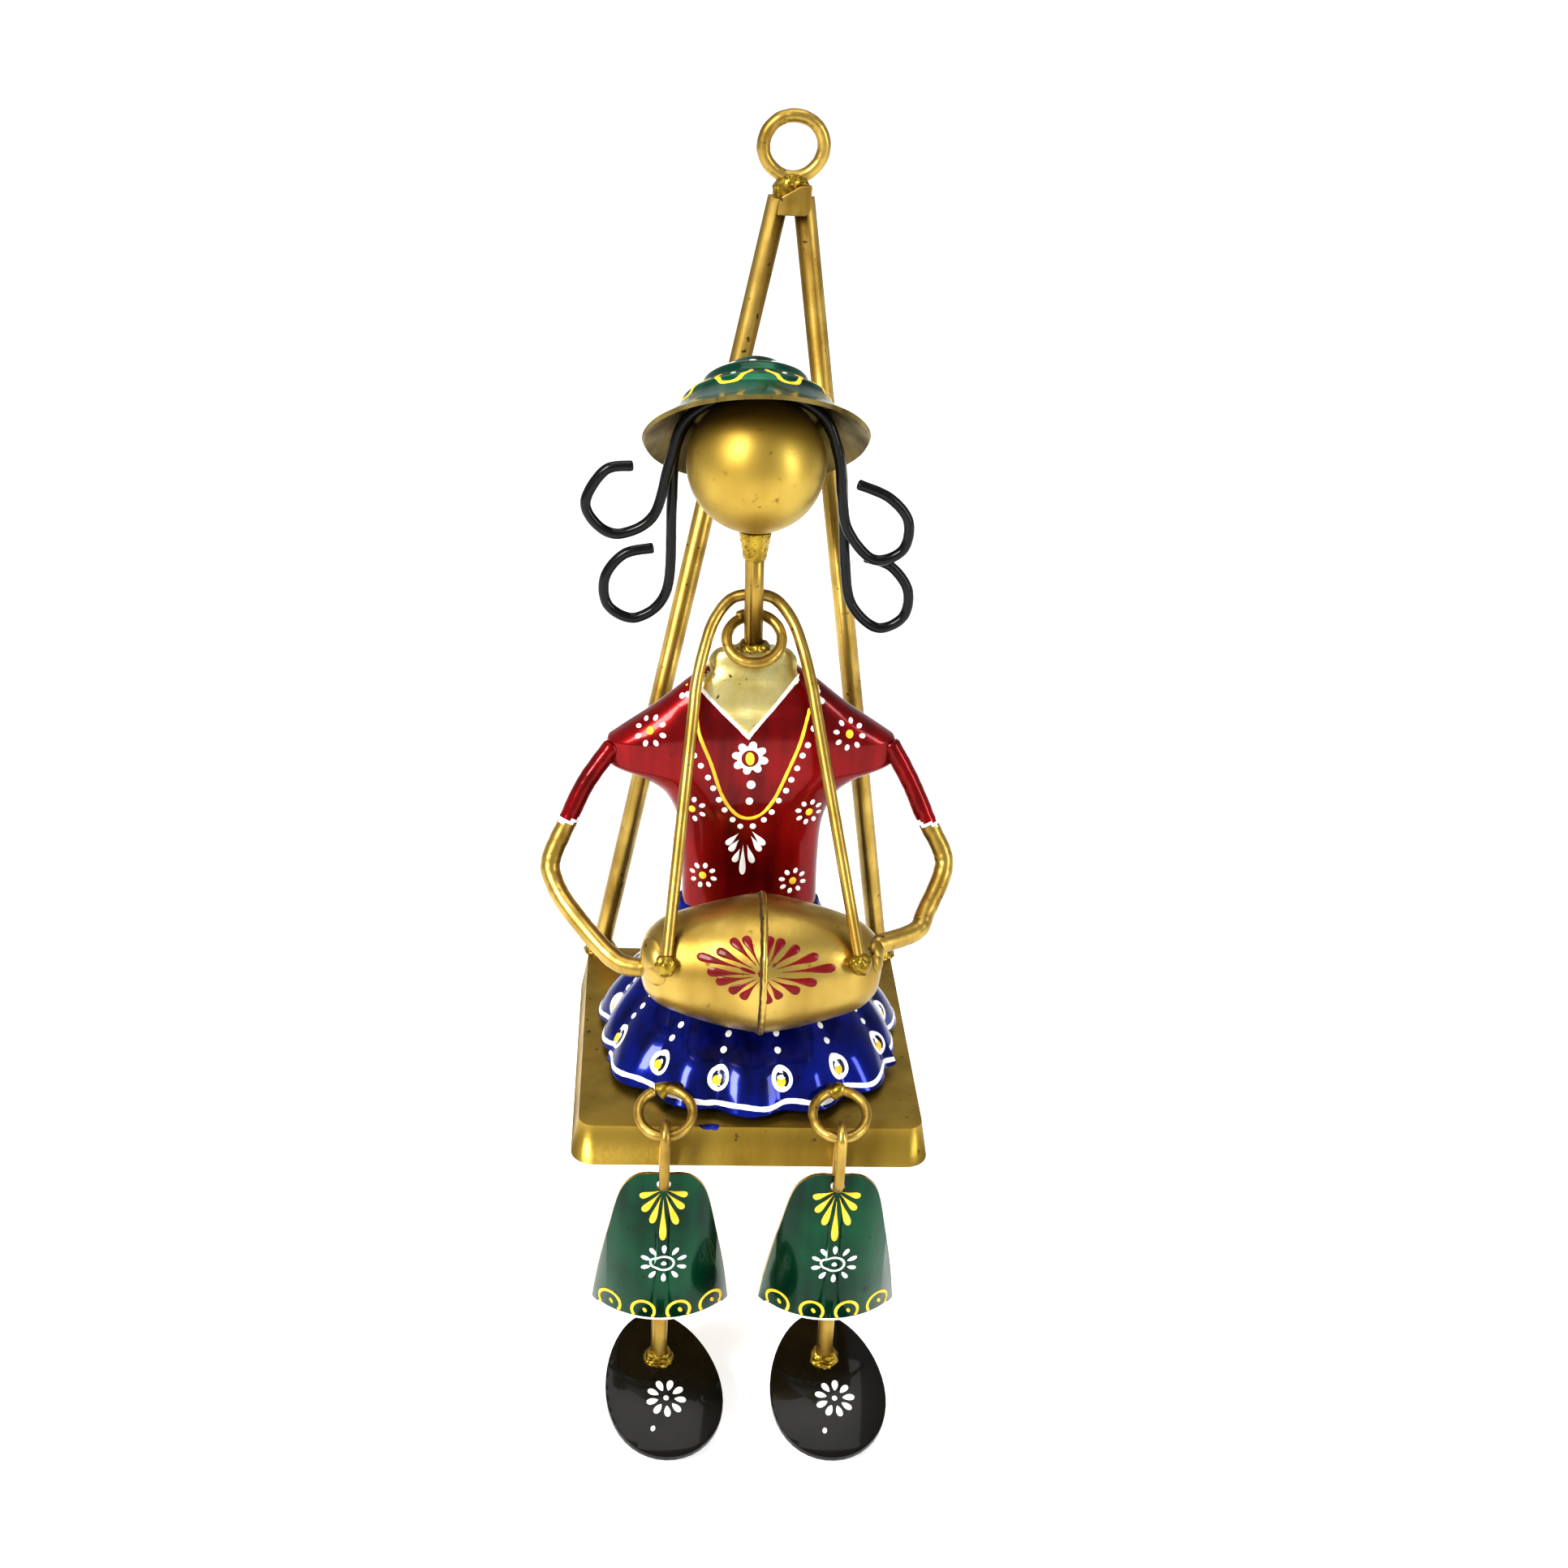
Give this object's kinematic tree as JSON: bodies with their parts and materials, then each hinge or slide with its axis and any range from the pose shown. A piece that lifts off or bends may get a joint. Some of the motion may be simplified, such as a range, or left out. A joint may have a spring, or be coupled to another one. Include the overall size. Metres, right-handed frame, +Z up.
{
  "type": "hanging painted iron drummer doll",
  "caption": "Wall-hung painted metal doll in a hat, sitting on a swing seat with a barrel drum, with legs that dangle from rings.",
  "frame": {"origin": "centre of the hanging eye's bore", "axes": "+Y through the eye towards the wall, +Z up, +X to the viewer's right"},
  "size_m": [0.0887, 0.1024, 0.2665],
  "materials": {
    "gold_paint": "satin metallic",
    "red_enamel": "gloss",
    "green_enamel": "gloss",
    "blue_enamel": "gloss",
    "black_enamel": "gloss"
  },
  "bodies": {
    "doll": {"hanging_eye": "gold_paint", "eye_gusset": "gold_paint", "eye_weld": "gold_paint", "frame_rod_left": "gold_paint", "frame_rod_right": "gold_paint", "seat_tray": "gold_paint", "rod_foot_welds": "gold_paint", "skirt": "blue_enamel", "skirt_tacks": "gold_paint", "torso_front": "red_enamel", "torso_back": "red_enamel", "neck_rod": "gold_paint", "neck_welds": "gold_paint", "head_ball": "gold_paint", "hat": "green_enamel", "hat_stud": "gold_paint", "hair_wire_upper": "black_enamel", "hair_wire_lower": "black_enamel", "arm_left": "gold_paint", "arm_right": "gold_paint", "drum_cup_left": "gold_paint", "drum_cup_right": "gold_paint", "drum_seam": "gold_paint", "drum_stud": "gold_paint", "drum_strap": "gold_paint", "strap_welds": "gold_paint", "leg_ring_left": "gold_paint", "leg_ring_right": "gold_paint", "ring_welds": "gold_paint"},
    "collar": {"collar_ring": "gold_paint"},
    "link_left": {"leg_link_left": "gold_paint"},
    "link_right": {"leg_link_right": "gold_paint"},
    "leg_left": {"trouser_left": "green_enamel", "shin_rod_left": "gold_paint", "shoe_left": "black_enamel", "leg_welds_left": "gold_paint"},
    "leg_right": {"trouser_right": "green_enamel", "shin_rod_right": "gold_paint", "shoe_right": "black_enamel", "leg_welds_right": "gold_paint"}
  },
  "joints": [
    {"name": "collar_tip", "type": "hinge", "parent": "doll", "child": "collar", "pos_m": [-0.00581, -0.03195, -0.09052], "axis": [-0.9997, 0, -0.0262], "range_deg": [0, 30]},
    {"name": "link_swing_left", "type": "hinge", "parent": "doll", "child": "link_left", "pos_m": [-0.0219, -0.08055, -0.1886], "axis": [-1, 0, 0], "range_deg": [-3, 75]},
    {"name": "leg_sway_left", "type": "hinge", "parent": "link_left", "child": "leg_left", "pos_m": [-0.0219, -0.08055, -0.2006], "axis": [0, 1, 0], "range_deg": [-5, 30]},
    {"name": "link_swing_right", "type": "hinge", "parent": "doll", "child": "link_right", "pos_m": [0.0149, -0.08055, -0.1886], "axis": [-1, 0, 0], "range_deg": [-3, 75]},
    {"name": "leg_sway_right", "type": "hinge", "parent": "link_right", "child": "leg_right", "pos_m": [0.0149, -0.08055, -0.2006], "axis": [0, -1, 0], "range_deg": [-5, 30]}
  ]
}
